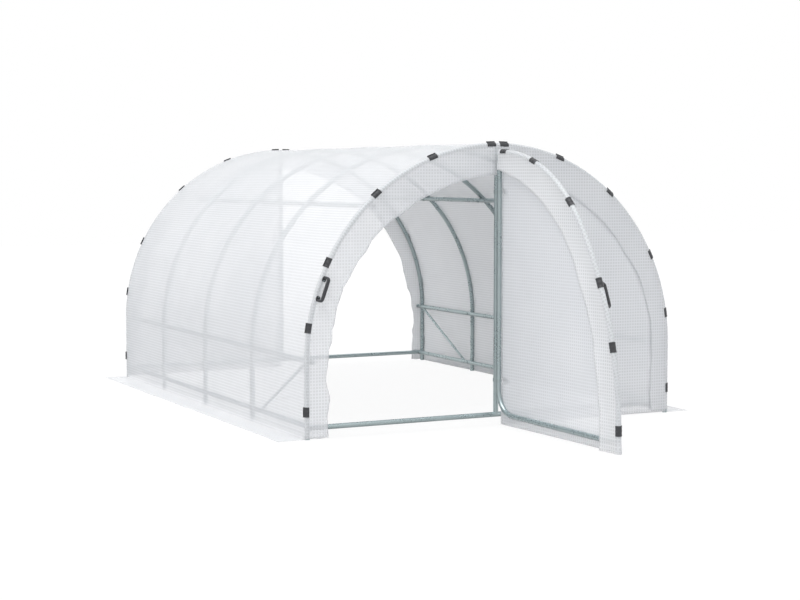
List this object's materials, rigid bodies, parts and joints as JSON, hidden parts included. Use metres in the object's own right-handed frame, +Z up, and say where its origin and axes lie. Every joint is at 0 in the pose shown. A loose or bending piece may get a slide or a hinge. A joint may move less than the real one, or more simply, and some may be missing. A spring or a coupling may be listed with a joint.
{
  "type": "polytunnel greenhouse",
  "caption": "Walk-in polytunnel greenhouse with a galvanised tube frame, translucent film cover and a hinged half-end door standing open.",
  "frame": {"origin": "on the ground, under the middle of the whole part with the door as it stands open", "axes": "+X to the right seen from the door end, +Y from the door end to the back along the tunnel, +Z up"},
  "size_m": [3.399, 5.4986, 2.0322],
  "materials": {
    "steel": "satin",
    "film": "satin",
    "black": "satin"
  },
  "bodies": {
    "tunnel": {"arch_1": "steel", "arch_2": "steel", "arch_3": "steel", "arch_4": "steel", "arch_5": "steel", "base_rail_left": "steel", "base_rail_right": "steel", "mid_rail_left": "steel", "mid_rail_right": "steel", "upper_purlin_left": "steel", "upper_purlin_right": "steel", "base_bar_front": "steel", "base_bar_back": "steel", "centre_post_front": "steel", "centre_post_back": "steel", "brace_front_left": "steel", "brace_back_right": "steel", "door_hinges": "steel", "cover_wall_left": "film", "cover_shoulder_left": "film", "cover_crown": "film", "cover_shoulder_right": "film", "cover_wall_right": "film", "skirt_left": "film", "skirt_right": "film", "front_flap_left": "film", "front_flap_right": "film", "back_flap_left": "film", "back_flap_right": "film", "front_panel_right": "film", "back_panel_left": "film", "arch_clips_front": "black", "arch_clips_back": "black", "arch_handle": "black"},
    "door": {"door_frame": "steel", "door_sheet": "film", "door_hem": "film", "door_clips": "black", "door_handle": "black"}
  },
  "joints": [
    {"name": "door_hinge", "type": "hinge", "parent": "tunnel", "child": "door", "pos_m": [-0.008, -1.32948, 1], "axis": [0, 0, 1], "range_deg": [-93.4, 76.3]}
  ]
}
